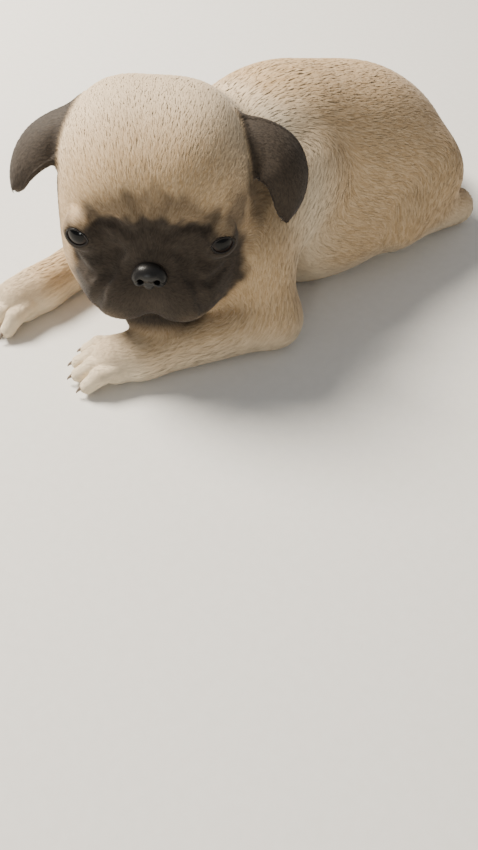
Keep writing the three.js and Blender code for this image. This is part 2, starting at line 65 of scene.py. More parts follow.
# The hair of the head runs away from this point at the nose
HAIR_START = (0, -50, -6)
EARS = {
    "right": {
        "base": (-35, 5, 25), "fold": (-57, 0, 17), "tip": (-57, -7, 1),
        "facing": (-0.75, -0.45, 0.45),
    },
    "left": {
        "base": (35, 2, 23), "fold": (59, -8, 28), "tip": (54, -14, -1),
        "facing": (0.45, -0.75, 0.45),
    },
}
EAR_WIDTH = 20
EAR_THICK = (3.2, 1.8)
EAR_CUP = 4
FORELEGS = {
    "left": {
        "blade": (27, -52, 58), "shoulder": (39, -86, 38), "elbow": (54, -87, 12),
        "wrist": (39, -146, 9), "turn": -27,
    },
    "right": {
        "blade": (-27, -52, 58), "shoulder": (-36, -88, 36), "elbow": (-41, -98, 14),
        "wrist": (-27, -164, 9), "turn": 4,
    },
}
HINDLEGS = {
    "left": {
        "hip": (24, 24, 31), "knee": (36, 0, 22), "hock": (33, 48, 9),
        "paw": (29.5, 27, 8), "turn": -7,
    },
    "right": {
        "hip": (-24, 24, 31), "knee": (-36, 0, 22), "hock": (-33, 48, 9),
        "paw": (-29.5, 27, 8), "turn": 7,
    },
}
# Points along the tail, each with its radius
TAIL = [(-2, 46, 36, 9), (-7, 60, 26, 7.8), (-17, 70, 15, 7), (-30, 72, 8, 6.2), (-41, 67, 5.5, 5)]
FOREPAW = {"width": 27, "length": 32}
HINDPAW = {"width": 21, "length": 30}
TOES = (-1.5, -0.5, 0.5, 1.5)
CLAW = {"length": 6.4, "radius": 1.5, "drop": 34}

# The grid that the skin is drawn on, and how far the skin lies under the tips of the coat
SKIN_CELL = 1.0
SKIN_BOX = ((-70, -204, -3), (70, 97, 112))
COAT_DEPTH = {"body": 1.1, "face": 0.45, "paw": 0.55, "ear": 0.12}
# Widths over which the skin runs from the trunk into each other form
SKIN_SOFT = {"leg": 8, "tail": 5, "head": 7, "ear": 3}
FLOOR_GAP = 0.3


# ---------------------------------------------------------------- round forms

def turned(x=0, y=0, z=0):
    about_x, about_y, about_z = (
        Matrix.Rotation(math.radians(angle), 3, axis) for angle, axis in ((x, "X"), (y, "Y"), (z, "Z"))
    )
    return np.array(about_x @ about_y @ about_z)


def blend(a, b, width):
    h = np.maximum(width - np.abs(a - b), 0) / width
    return np.minimum(a, b) - h * h * width * 0.25


def carve(a, b, width):
    return -blend(-a, b, width)


def ball(centre, radii, turn=(0, 0, 0)):
    radii = np.array(radii if np.ndim(radii) else (radii,) * 3, float)
    axes = turned(*turn)

    def distance(p):
        q = (p - centre) @ axes
        k0 = np.linalg.norm(q / radii, axis=1)
        k1 = np.linalg.norm(q / radii**2, axis=1)
        return k0 * (k0 - 1) / np.maximum(k1, 1e-9)

    return distance


def limb(a, b, ra, rb):
    a, b = np.array(a, float), np.array(b, float)
    ba = b - a
    l2, rr = ba @ ba, ra - rb
    a2, il2 = l2 - rr * rr, 1 / l2

    def distance(p):
        pa = p - a
        t = pa @ ba
        s = t - l2
        x2 = ((pa * l2 - t[:, None] * ba) ** 2).sum(1)
        y2, z2 = t * t * l2, s * s * l2
        k = np.sign(rr) * rr * rr * x2
        near_b = np.sqrt(x2 + z2) * il2 - rb
        near_a = np.sqrt(x2 + y2) * il2 - ra
        side = (np.sqrt(x2 * a2 * il2) + t * rr) * il2 - ra
        return np.where(np.sign(s) * a2 * z2 > k, near_b, np.where(np.sign(t) * a2 * y2 < k, near_a, side))

    return distance


def joined(width, *forms):
    def distance(p):
        d = forms[0](p)
        for form in forms[1:]:
            d = blend(d, form(p), width)
        return d

    return distance


def placed(form, at, turn):
    return lambda p: form((p - at) @ turn)


# ---------------------------------------------------------------- head

HEAD_AXES = turned(z=HEAD_TURN["yaw"]) @ turned(x=HEAD_TURN["pitch"]) @ turned(y=HEAD_TURN["roll"])


def to_head(p):
    return (p - HEAD_AT) @ HEAD_AXES


def from_head(q):
    return np.array(q, float) @ HEAD_AXES.T + HEAD_AT


def head_forms():
    skull = [ball((0, 5, 5), (37, 39, 34)), ball((0, -14, 8), (31, 24, 25))]
    for s in SIDES.values():
        skull += [
            ball((s * 14, 4, 16), (21, 30, 22)),
            ball((s * 21, -6, -13), (18, 25, 23)),
            ball((s * 19, -18, -22), (14, 17, 16)),
        ]
    flews = [ball((s * 12, -34, -20), (16, 15, 16.5), (0, s * 14, 0)) for s in SIDES.values()]
    muzzle = [ball((0, -35, -2), (12, 9, 7)), *flews, ball((0, -30, -15), (21, 14, 14))]
    throat = ball((0, -6, -26), (24, 24, 15))
    chin = joined(7, ball((0, -33, -36), (14, 12, 9)), ball((0, -18, -33), (19, 15, 10)))
    return joined(14, *skull), joined(6, *muzzle), throat, chin


SKULL, MUZZLE, THROAT, CHIN = head_forms()
EYE_CENTRES = {s: np.array((s * EYE_AT[0], EYE_AT[1], EYE_AT[2])) for s in SIDES.values()}
LIDS = [ball(centre, EYE_RADIUS + LID_THICK) for centre in EYE_CENTRES.values()]


def unit(v):
    return v / np.maximum(np.linalg.norm(v, axis=-1, keepdims=True), 1e-9)


def eye_axes(s):
    """Out of the eye opening, along it towards the outer corner, and up across it."""
    out = unit(np.array((s * EYE_OUT[0], *EYE_OUT[1:])))
    level = unit(np.cross((0, 0, s), out))
    slant = math.radians(EYE_OPENING["slant"])
    rise = np.cross(level, out) * -s
    along = level * math.cos(slant) + rise * math.sin(slant)
    return out, along, np.cross(along, out) * -s


def lid_gap(x, upper):
    """Half height of the opening at x from its inner corner (-1) to its outer corner (1)."""
    height = np.where(upper, EYE_OPENING["upper"], EYE_OPENING["lower"])
    return height * np.maximum(1 - x * x, 0) ** 0.65


def eye_opening(s):
    out, along, up = eye_axes(s)
    radius = EYE_RADIUS + LID_THICK

    def distance(q):
        way = q - EYE_CENTRES[s]
        depth = np.maximum(way @ out, 0.3) / radius
        x = way @ along / depth / EYE_OPENING["half_width"]
        z = way @ up / depth
        over = np.abs(z) - lid_gap(x, z > 0)
        beside = (np.abs(x) - 1) * EYE_OPENING["half_width"]
        return np.where(way @ out > 2, np.maximum(over, beside) * np.minimum(depth, 1.2), 10)

    return distance


EYE_OPENINGS = [eye_opening(s) for s in SIDES.values()]
# The roll of skin over the nose, and a line down the upper lip so faint that it hardly shows
CREASES = [
    (limb((-14, -39, 1), (-6, -44, 6), 1.6, 1.8), 2),
    (limb((-6, -44, 6), (6, -44, 6), 1.8, 1.8), 2),
    (limb((6, -44, 6), (14, -39, 1), 1.8, 1.6), 2),
    (limb((0, -50, -12), (0, -49, -28), 1.2, 1.2), 2),
]


def head_form(q):
    d = blend(SKULL(q), MUZZLE(q), 8)
    d = blend(d, THROAT(q), 10)
    for lid in LIDS:
        d = blend(d, lid(q), 3)
    for crease, soft in CREASES:
        d = carve(d, crease(q), soft)
    for opening in EYE_OPENINGS:
        d = carve(d, opening(q), 1)
    return np.minimum(d, CHIN(q))


def face_depth(x, z):
    """How far forward the face reaches at x and z: the y of its surface."""
    y = np.linspace(-70, 0, 141)
    q = np.stack([np.full(141, x), y, np.full(141, z)], 1)
    return y[np.argmax(blend(SKULL(q), MUZZLE(q), 8) < 0)]


# Soft folds of a pup's loose face: each is a groove through points given as x and z
FOLDS = {
    "frown": ([(2.5, 13), (3.5, 19), (7, 24)], 1.0, 3),
    "brow": ([(7, 10), (14, 12.5), (20, 11)], 1.1, 3),
    "under_eye": ([(15, -2), (18, -8), (24, -11), (30, -10)], 0.9, 2.5),
    "cheek": ([(12, 1), (16, -7), (21, -17), (23, -27)], 1.2, 3),
}


def fold_forms():
    forms = []
    for points, radius, soft in FOLDS.values():
        for s in SIDES.values():
            line = [(s * x, face_depth(s * x, z) - 0.2, z) for x, z in points]
            forms += [(limb(a, b, radius, radius), soft) for a, b in zip(line, line[1:])]
    return forms


FOLD_FORMS = fold_forms()


def ear_line(ear, u):
    """Middle line of the ear from its base (0) over the fold to the tip (1), and its run."""
    base, fold, tip = (np.array(ear[k], float) for k in ("base", "fold", "tip"))
    w = u[:, None]
    at = base * (1 - w) ** 2 + fold * 2 * w * (1 - w) + tip * w**2
    return at, 2 * (1 - w) * (fold - base) + 2 * w * (tip - fold)


def ear_sheet(ear, u, q):
    """Nearest point of the middle of the flap, the way along it and its half thickness."""
    at, run = ear_line(ear, u)
    along = unit(run)
    across = unit(np.cross(np.array(ear["facing"]), along))
    normal = np.cross(along, across)
    taper = np.where(u < 0.3, 1, np.sqrt(np.maximum(1 - ((u - 0.3) / 0.7005) ** 2, 0.001)))
    half = EAR_WIDTH / 2 * (0.86 + 0.14 * np.clip(u / 0.3, 0, 1)) * taper
    v = np.clip(((q - at) * across).sum(1) / half, -1, 1)
    bend = -EAR_CUP * v * v * (1 - 0.5 * u)
    middle = at + across * (half * v)[:, None] + normal * bend[:, None]
    return middle, along, (EAR_THICK[0] + (EAR_THICK[1] - EAR_THICK[0]) * np.clip(u, 0, 1)) / 2


def ear_place(ear, q):
    """How far along the ear each point is."""
    stations = np.linspace(-0.15, 1, 13)
    line, _ = ear_line(ear, stations)
    u = stations[np.argmin(((q[:, None] - line) ** 2).sum(2), axis=1)]
    for _ in range(3):
        at, run = ear_line(ear, u)
        u = np.clip(u + ((q - at) * run).sum(1) / (run * run).sum(1), -0.15, 1)
    return u


def ear_form(ear):
    """Distance to an ear: a thin cupped flap with a round rim. Far from it, a round bound stands in."""
    weights = (("base", 0.25), ("fold", 0.5), ("tip", 0.25))
    middle = sum(np.array(ear[point], float) * weight for point, weight in weights)

    def distance(q):
        d = np.linalg.norm(q - middle, axis=1) - 30
        near = np.flatnonzero(d < 8)
        p = q[near]
        sheet, _, thick = ear_sheet(ear, ear_place(ear, p), p)
        d[near] = np.linalg.norm(p - sheet, axis=1) - thick
        return d

    return distance


EAR_FORMS = {side: ear_form(ear) for side, ear in EARS.items()}


def ears_form(q):
    return np.minimum(EAR_FORMS["right"](q), EAR_FORMS["left"](q))


# ---------------------------------------------------------------- body

TORSO = joined(
    16,
    ball((-2, -38, 38), (44, 48, 53)),
    ball((-2, -3, 34), (45, 45, 48)),
    ball((-1, 21, 27), (39, 32, 36)),
    ball((0, -74, 34), (32, 22, 30)),
    ball((2, -30, 22), (44, 46, 26)),
    ball((33, -97, 24), (15, 17, 11)),
)
TRUNK = joined(22, TORSO, limb((0, -62, 56), (4, -98, 60), 32, 31))
TAIL_FORM = joined(3, *[limb(a[:3], b[:3], a[3], b[3]) for a, b in zip(TAIL, TAIL[1:])])


def toe(t, size):
    x = t * size["width"] / 4
    reach = size["length"] * (1 if abs(t) < 1 else 0.88)
    return (x * 0.8, -reach * 0.4, 9.5), (x * 0.98, -reach * 0.66, 8.4), (x * 1.12, -reach + 4, 4.4)


def paw_form(size):
    width, length = size["width"], size["length"]
    forms = [
        limb((0, 3, 10), (0, -length * 0.34, 9), 9.2, width * 0.39),
        ball((0, -length * 0.36, 5), (width * 0.41, 9, 6)),
    ]
    for t in TOES:
        root, knuckle, tip = toe(t, size)
        forms += [limb(root, knuckle, 4.4, 4.1), limb(knuckle, tip, 4.1, 3.6)]
    return joined(1.4, *forms)


def paw_place(leg, start):
    return (leg[start][0], leg[start][1], 0), turned(z=leg["turn"])


def foreleg_form(leg):
    blade = limb(leg["blade"], leg["shoulder"], 17, 16)
    upper = joined(8, blade, limb(leg["shoulder"], leg["elbow"], 15.5, 13))
    paw = placed(paw_form(FOREPAW), *paw_place(leg, "wrist"))
    return joined(6, upper, limb(leg["elbow"], leg["wrist"], 13, 10.5), paw)


def hindleg_form(leg):
    thigh = joined(8, limb(leg["hip"], leg["knee"], 23, 15), limb(leg["knee"], leg["hock"], 13, 9.5))
    paw = placed(paw_form(HINDPAW), *paw_place(leg, "paw"))
    foot = joined(4, limb(leg["hock"], leg["paw"], 8.6, 8.6), paw)
    return joined(5, thigh, foot)


FORELEG_FORMS = [foreleg_form(leg) for leg in FORELEGS.values()]
HINDLEG_FORMS = [hindleg_form(leg) for leg in HINDLEGS.values()]


def between(low, high, value):
    t = np.clip((value - low) / (high - low), 0, 1)
    return t * t * (3 - 2 * t)


def paw_nearness(p):
    near = np.zeros(len(p))
    for legs, start, size in ((FORELEGS, "wrist", FOREPAW), (HINDLEGS, "paw", HINDPAW)):
        for leg in legs.values():
            at, turn = paw_place(leg, start)
            q = (p - at) @ turn
            away = np.linalg.norm((q - (0, -size["length"] / 2, 6)) / (1, 1.1, 1), axis=1)
            near = np.maximum(near, 1 - between(14, 24, away))
    return near


def coat_depth(p, ears=None):
    q = to_head(p)
    face = 1 - between(-34, -8, q[:, 1] + 0.25 * np.maximum(q[:, 2], 0))
    face *= 1 - between(48, 62, np.linalg.norm(q, axis=1))
    depth = COAT_DEPTH["body"] + (COAT_DEPTH["face"] - COAT_DEPTH["body"]) * face
    depth = depth + (COAT_DEPTH["paw"] - depth) * paw_nearness(p)
    ears = ears_form(q) if ears is None else ears
    return depth + (COAT_DEPTH["ear"] - depth) * (1 - between(0.5, 4, ears))


def skin_form(p):
    """The skin: the puppy's form drawn in by the depth of the coat, with its folds, above the floor."""
    q = to_head(p)
    d = TRUNK(p)
    for leg in FORELEG_FORMS + HINDLEG_FORMS:
        d = blend(d, leg(p), SKIN_SOFT["leg"])
    d = blend(d, TAIL_FORM(p), SKIN_SOFT["tail"])
    head = head_form(q)
    on_face = np.flatnonzero(np.linalg.norm(q - (0, -35, 0), axis=1) < 50)
    folded = head[on_face]
    for fold, soft in FOLD_FORMS:
        folded = carve(folded, fold(q[on_face]), soft)
    head[on_face] = folded
    ears = ears_form(q)
    d = blend(blend(d, head, SKIN_SOFT["head"]), ears, SKIN_SOFT["ear"])
    return np.maximum(d + coat_depth(p, ears), FLOOR_GAP - p[:, 2])


# ---------------------------------------------------------------- meshing

def field(form, low, high, cell, coarse=4):
    """Values of a form on a grid. Far from the surface they come from a coarser grid."""
    low = np.array(low, float)
    count = np.ceil((np.array(high) - low) / (cell * coarse)).astype(int) + 1
    axes = [low[i] + np.arange(count[i]) * cell * coarse for i in range(3)]
    rough = form(np.stack(np.meshgrid(*axes, indexing="ij"), -1).reshape(-1, 3)).reshape(count)
    value = rough
    for axis in range(3):
        value = np.repeat(value, coarse, axis=axis)
    near = np.argwhere(np.abs(value) < cell * coarse * 1.6)
    value[tuple(near.T)] = form(low + (near - coarse / 2) * cell)
    return value, low - coarse / 2 * cell


def surface(form, low, high, cell):
    """Closed mesh of a form: one point in each cell that the surface crosses, drawn onto it."""
    value, origin = field(form, low, high, cell)
    inside = value < 0
    shape = np.array(value.shape)
    strides = np.array([shape[1] * shape[2], shape[2], 1])
    total = int(shape.prod())
    sums, hits = np.zeros((total, 3)), np.zeros(total)
    rings, flips = [], []
    for axis in range(3):
        a = [slice(None)] * 3
        b = [slice(None)] * 3
        a[axis], b[axis] = slice(None, -1), slice(1, None)
        crossing = np.argwhere(inside[tuple(a)] != inside[tuple(b)])
        ahead = np.eye(3, dtype=int)[axis]
        va, vb = value[tuple(crossing.T)], value[tuple((crossing + ahead).T)]
        point = crossing + (va / (va - vb))[:, None] * ahead
        u, w = (np.eye(3, dtype=int)[(axis + n) % 3] for n in (1, 2))
        cells = [(crossing - m) @ strides for m in (0 * u, u, u + w, w)]
        for c in cells:
            hits += np.bincount(c, minlength=total)
            for n in range(3):
                sums[:, n] += np.bincount(c, weights=point[:, n], minlength=total)
        rings.append(np.stack(cells, 1))
        flips.append(va >= 0)
    used = np.flatnonzero(hits)
    index = np.full(total, -1)
    index[used] = np.arange(len(used))
    points = origin + sums[used] / hits[used, None] * cell
    quads = index[np.concatenate(rings)]
    flip = np.concatenate(flips)
    quads[flip] = quads[flip][:, ::-1]
    return drawn_onto(form, points, cell), quads


def slope(form, p, reach=0.12):
    """Gradient of a form, from the four corners of a small tetrahedron round each point."""
    corners = np.array([(1, -1, -1), (-1, -1, 1), (-1, 1, -1), (1, 1, 1)], float)
    return sum(form(p + c * reach)[:, None] * c for c in corners) / (4 * reach)


def drawn_onto(form, points, most, rounds=3):
    """Points moved onto a form's surface. One that would move further than most stays."""
    start = points.copy()
    for _ in range(rounds):
        d = form(points)
        g = slope(form, points)
        step = g * (d / np.maximum((g * g).sum(1), 0.25))[:, None]
        points = points - step
    moved = np.linalg.norm(points - start, axis=1)
    return np.where((moved < most)[:, None], points, start)


def outward(form, p):
    g = slope(form, p)
    return g / np.maximum(np.linalg.norm(g, axis=1), 1e-6)[:, None]


eye_low, eye_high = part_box("eye_left")
SHIFT = np.array((eye_low + eye_high) / 2) / MM - from_head(EYE_AT)


def to_scene(p):
    return (np.asarray(p) + SHIFT) * MM


def mesh_piece(name, points, faces, material, replaced=(), slot=None, **marks):
    """A piece from points in millimetres and faces of one size, with a number a point for each mark."""
    mesh = bpy.data.meshes.new(name)
    faces = np.asarray(faces)
    sides = faces.shape[1]
    mesh.vertices.add(len(points))
    mesh.vertices.foreach_set("co", to_scene(points).astype(np.float32).ravel())
    mesh.loops.add(faces.size)
    mesh.loops.foreach_set("vertex_index", faces.astype(np.int32).ravel())
    mesh.polygons.add(len(faces))
    mesh.polygons.foreach_set("loop_start", np.arange(0, faces.size, sides, dtype=np.int32))
    mesh.update(calc_edges=True)
    mesh.shade_smooth()
    for mark, values in marks.items():
        mesh.attributes.new(mark, "FLOAT", "POINT").data.foreach_set("value", np.asarray(values, np.float32))
    mesh.materials.append(material)
    piece = bpy.data.objects.new(name, mesh)
    bpy.context.scene.collection.objects.link(piece)
    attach(piece, "root")
    if replaced:
        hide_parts(*replaced)
    return piece


# ---------------------------------------------------------------- markings and the lie of the coat

# Black fur in the head's frame, as centre and radii: the mask and the two spots over the eyes
MASK = [
    ((0, -38, -17), (30, 22, 22)),
    ((25, -29, -12), (14, 15, 17)),
    ((-18, -32, -13), (14, 15, 17)),
    ((25, -33, 2), (12, 11, 9)),
    ((-24, -33, 2), (12, 11, 9)),
    ((0, -39, 7), (24, 14, 10.5)),
    ((0, -33, -34), (21, 18, 13)),
]
BROW_SPOTS = [((23.5, -33, 13.5), (5, 7, 4)), ((-22, -33, 13), (5.5, 7, 4.5))]
# Sooty fur and painted shade: a sooty fringe over the mask, painted shade on the temples in front of the
# ears, and sooty fur with painted shade at the left eye's outer corner
SOOT_AND_PAINTED_SHADE = [
    ((0, -36, 16), (25, 14, 10)),
    # The temples: painted shade under the ear flaps, with some of the ears' black
    ((42, -4, 8), (8, 13, 17)),
    ((-42, -4, 8), (8, 13, 17)),
    # The left eye's outer corner: sooty fur and painted shade
    ((33, -25, 8), (9, 12, 10)),
]


def nearest(forms, q):
    return np.minimum.reduce([ball(centre, radii)(q) for centre, radii in forms])


def markings(p):
    """How black and how pale the coat is at each point. The black holds black fur, and painted shade at the
    temples and at the left eye's outer corner.
    """
    q = to_head(p)
    rough = 1.4 * np.sin(q[:, 0] * 0.35 + 1) * np.sin(q[:, 2] * 0.4)
    rough = rough + 0.9 * np.sin(q[:, 0] * 0.9) * np.sin(q[:, 2] * 0.8 + 2)
    mask = joined(7, *[ball(centre, radii) for centre, radii in MASK])(q) + rough
    black = 0.97 * (1 - between(-3.5, 4, mask))
    black = np.maximum(black, 0.8 * (1 - between(-3, 2.5, nearest(BROW_SPOTS, q) + 0.5 * rough)))
    # The sooty fringe, and painted shade at the temples and the left eye's outer corner, darken the coat here
    black = np.maximum(black, 0.6 * (1 - between(-5, 3, nearest(SOOT_AND_PAINTED_SHADE, q) + rough)))
    on_head = 1 - between(54, 64, np.linalg.norm(q, axis=1))
    throat = 1 - between(-48, -42, q[:, 2])
    black = black * on_head * (1 - throat)
    black = np.maximum(black, 0.97 * (1 - between(0.4, 3.4, ears_form(q))))
    chest = 1 - between(4, 22, p[:, 2])
    shoulder = np.exp(-(((p[:, 1] + 62) / 14) ** 2)) * between(5, 25, p[:, 0])
    crown = on_head * between(-5, 25, q[:, 2]) * between(-30, 5, q[:, 1])
    toes = paw_nearness(p)
    pale = np.clip(0.5 * chest + 0.5 * shoulder + 0.4 * crown + 0.3 * toes, 0, 1) * (1 - black)
    return black, pale


def lie_guides():
    guides = []
    for leg in FORELEGS.values():
        at, turn = paw_place(leg, "wrist")
        toes = turn @ (0, -32, 6) + at
        guides += [(leg["blade"], leg["shoulder"], 17), (leg["shoulder"], leg["elbow"], 15)]
        guides += [(leg["elbow"], leg["wrist"], 12), (leg["wrist"], toes, 11)]
    for leg in HINDLEGS.values():
        at, turn = paw_place(leg, "paw")
        toes = turn @ (0, -30, 6) + at
        guides += [(leg["hip"], leg["knee"], 20), (leg["knee"], leg["hock"], 12)]
        guides += [(leg["hock"], leg["paw"], 9), (leg["paw"], toes, 9)]
    guides += [(a[:3], b[:3], a[3]) for a, b in zip(TAIL, TAIL[1:])]
    return [(limb(a, b, r, r), unit(np.array(b, float) - a)) for a, b, r in guides]


LIE_GUIDES = lie_guides()


def lie(p):
    """The way the hair points: from the nose over the head, back along the trunk, down the limbs."""
    side = np.clip(p[:, 0] / 40, -1, 1)
    back = np.stack([0.12 * side, np.ones(len(p)), -0.45 * np.abs(side)], 1)
    flow = unit(back) * np.exp(-np.maximum(TRUNK(p), 0) / 4)[:, None]
    for bone, way in LIE_GUIDES:
        flow = flow + 1.6 * way * np.exp(-np.maximum(bone(p) - 1, 0) / 3)[:, None]
    q = to_head(p)
    away = unit(q - HAIR_START) @ HEAD_AXES.T
    on_head = np.exp(-np.maximum(head_form(q), 0) / 3)
    flow = flow + 4 * away * on_head[:, None]
    for side, ear in EARS.items():
        beside = EAR_FORMS[side](q)
        close = np.flatnonzero(beside < 4)
        _, run = ear_line(ear, ear_place(ear, q[close]))
        fade = np.exp(-np.maximum(beside[close], 0) / 1.5)
        flow[close] += 12 * unit(run) @ HEAD_AXES.T * fade[:, None]
    return unit(flow)


# ---------------------------------------------------------------- materials

def linear(code):
    def channel(v):
        return v / 12.92 if v <= 0.04045 else ((v + 0.055) / 1.055) ** 2.4

    return (*(channel(int(code[i : i + 2], 16) / 255) for i in (1, 3, 5)), 1)


def add(tree, kind, settings=None, **links):
    """A node of a kind. A setting or link is named for its property or input, with _ for a space."""
    node = tree.nodes.new(kind)
    for name, value in (settings or {}).items():
        if isinstance(name, int):
            node.inputs[name].default_value = value
        elif hasattr(node, name):
            setattr(node, name, value)
        else:
            node.inputs[name.replace("_", " ")].default_value = value
    for name, source in links.items():
        key = int(name[1:]) if name[0] == "n" and name[1:].isdigit() else name.replace("_", " ")
        tree.links.new(source, node.inputs[key])
    return node


def new_material(name):
    material = bpy.data.materials.new(name)
    material.use_nodes = True
    tree = material.node_tree
    tree.nodes.clear()
    return material, tree


def coat_colour(tree):
    """Fawn, paler where the pale mark is, black where the black mark is. The black mark includes painted
    shade at the temples and the left eye's outer corner.
    """
    marks = ("black", "pale", "tone")
    nodes = [add(tree, "ShaderNodeAttribute", {"attribute_name": mark}) for mark in marks]
    black, pale, tone = (node.outputs["Fac"] for node in nodes)
    fawns = {"data_type": "RGBA", 6: linear("#d0b48e"), 7: linear("#b3946c")}
    fawn = add(tree, "ShaderNodeMix", fawns, n0=tone).outputs[2]
    light = add(tree, "ShaderNodeMix", {"data_type": "RGBA", 7: linear("#efe0c4")}, n0=pale, n6=fawn)
    blacks = {"data_type": "RGBA", 6: linear("#352d26"), 7: linear("#1f1a16")}
    dark = add(tree, "ShaderNodeMix", blacks, n0=tone).outputs[2]
    both = add(tree, "ShaderNodeMix", {"data_type": "RGBA"}, n0=black, n6=light.outputs[2], n7=dark)
    return both.outputs[2]


def make_skin_fur():
    """Short flat fur seen as a surface: fine streaks along the lie of the hair."""
    material, tree = new_material("short_fur")
    along = add(tree, "ShaderNodeAttribute", {"attribute_name": "along"}).outputs["Fac"]
    across = add(tree, "ShaderNodeAttribute", {"attribute_name": "across"}).outputs["Vector"]
    # The marks are in mm and the way along the hair is drawn in four times, so that the strands are
    # about 0.5 mm wide and 2 mm long
    strands = add(
        tree, "ShaderNodeTexNoise", {"noise_dimensions": "4D", "Scale": 2.0, "Detail": 2.0, "Roughness": 0.6},
        Vector=across, W=along,
    )
    bump = add(tree, "ShaderNodeBump", {"Strength": 0.5, "Distance": 0.0003}, Height=strands.outputs["Fac"])
    shader = add(
        tree, "ShaderNodeBsdfPrincipled",
        {
            "Roughness": 0.8, "IOR": 1.45, "Specular_IOR_Level": 0.25,
            "Sheen_Weight": 0.15, "Sheen_Roughness": 0.5,
        },
        Base_Color=coat_colour(tree), Normal=bump.outputs[0],
    )
    add(tree, "ShaderNodeOutputMaterial", Surface=shader.outputs[0])
    return material


def make_tuft_fur():
    """Locks of short fur: each hair is a smooth rod of keratin, so a lock has a faint soft shine."""
    material, tree = new_material("tuft_fur")
    shader = add(
        tree, "ShaderNodeBsdfPrincipled",
        {
            "Roughness": 0.7, "IOR": 1.5, "Specular_IOR_Level": 0.25,
            "Sheen_Weight": 0.1, "Sheen_Roughness": 0.5,
        },
        Base_Color=coat_colour(tree),
    )
    add(tree, "ShaderNodeOutputMaterial", Surface=shader.outputs[0])
    return material


def make_eye():
    """A wet eyeball: a clear, smooth, glossy coat of tears over a dark brown iris."""
    material, tree = new_material("wet_eye")
    gaze = add(tree, "ShaderNodeAttribute", {"attribute_name": "gaze"}).outputs["Fac"]
    ramp = add(tree, "ShaderNodeValToRGB", Fac=gaze)
    # From the middle outwards: pupil, dark brown iris, its black rim, and the white, pink at its edge
    stops = [(0.0, "#030303"), (0.24, "#040404"), (0.28, "#170d08"), (0.5, "#21130a"), (0.56, "#070504")]
    stops += [(0.62, "#b5a596"), (1.0, "#a98c80")]
    ramp.color_ramp.elements[0].color = linear(stops[0][1])
    ramp.color_ramp.elements[1].position, ramp.color_ramp.elements[1].color = 1.0, linear(stops[-1][1])
    for place, code in stops[1:-1]:
        ramp.color_ramp.elements.new(place).color = linear(code)
    shader = add(
        tree, "ShaderNodeBsdfPrincipled",
        {
            "Roughness": 0.3, "IOR": 1.376, "Specular_IOR_Level": 0.05,
            "Coat_Weight": 0.55, "Coat_Roughness": 0.02, "Coat_IOR": 1.376,
        },
        Base_Color=ramp.outputs["Color"],
    )
    add(tree, "ShaderNodeOutputMaterial", Surface=shader.outputs[0])
    return material


def make_nose_leather():
    """Nose leather: bare black skin in cells about 0.6 mm across, moist, so that it glints."""
    material, tree = new_material("nose_leather")
    place = add(tree, "ShaderNodeTexCoord").outputs["Object"]
    cells = add(tree, "ShaderNodeTexVoronoi", {"Scale": 1 / 0.0006}, Vector=place)
    height = cells.outputs["Distance"]
    bump = add(tree, "ShaderNodeBump", {"Strength": 0.5, "Distance": 0.0001}, Height=height)
    blacks = {"data_type": "RGBA", 6: linear("#0a0909"), 7: linear("#171413")}
    colour = add(tree, "ShaderNodeMix", blacks, n0=height)
    shader = add(
        tree, "ShaderNodeBsdfPrincipled",
        {
            "Roughness": 0.42, "IOR": 1.45, "Specular_IOR_Level": 0.35,
            "Coat_Weight": 0.15, "Coat_Roughness": 0.25,
        },
        Base_Color=colour.outputs[2], Normal=bump.outputs[0],
    )
    add(tree, "ShaderNodeOutputMaterial", Surface=shader.outputs[0])
    return material


def make_claw_horn():
    """Claw horn: grey-brown keratin with fine growth lines along it, a little glossy."""
    material, tree = new_material("claw_horn")
    place = add(tree, "ShaderNodeTexCoord").outputs["Object"]
    lines = add(tree, "ShaderNodeTexNoise", {"Scale": 1 / 0.0008, "Detail": 3.0}, Vector=place)
    browns = {"data_type": "RGBA", 6: linear("#4b4037"), 7: linear("#8a7a68")}
    colour = add(tree, "ShaderNodeMix", browns, n0=lines.outputs["Fac"]).outputs[2]
    shader = add(tree, "ShaderNodeBsdfPrincipled", {"Roughness": 0.35, "IOR": 1.54}, Base_Color=colour)
    add(tree, "ShaderNodeOutputMaterial", Surface=shader.outputs[0])
    return material


def make_lid_leather():
    """Lid rims: bare black skin, kept moist by the tears, so that a thin line of light lies on it."""
    material, tree = new_material("lid_leather")
    place = add(tree, "ShaderNodeTexCoord").outputs["Object"]
    # Fine wrinkles about 0.4 mm apart
    noise = add(tree, "ShaderNodeTexNoise", {"Scale": 1 / 0.0004, "Detail": 2.0}, Vector=place)
    wrinkles = noise.outputs["Fac"]
    bump = add(tree, "ShaderNodeBump", {"Strength": 0.3, "Distance": 0.0001}, Height=wrinkles)
    blacks = {"data_type": "RGBA", 6: linear("#0c0a0a"), 7: linear("#1f1917")}
    colour = add(tree, "ShaderNodeMix", blacks, n0=wrinkles)
    shader = add(
        tree, "ShaderNodeBsdfPrincipled",
        {
            "Roughness": 0.5, "IOR": 1.42, "Specular_IOR_Level": 0.2,
            "Coat_Weight": 0.25, "Coat_Roughness": 0.1,
        },
        Base_Color=colour.outputs[2], Normal=bump.outputs[0],
    )
    add(tree, "ShaderNodeOutputMaterial", Surface=shader.outputs[0])
    return material


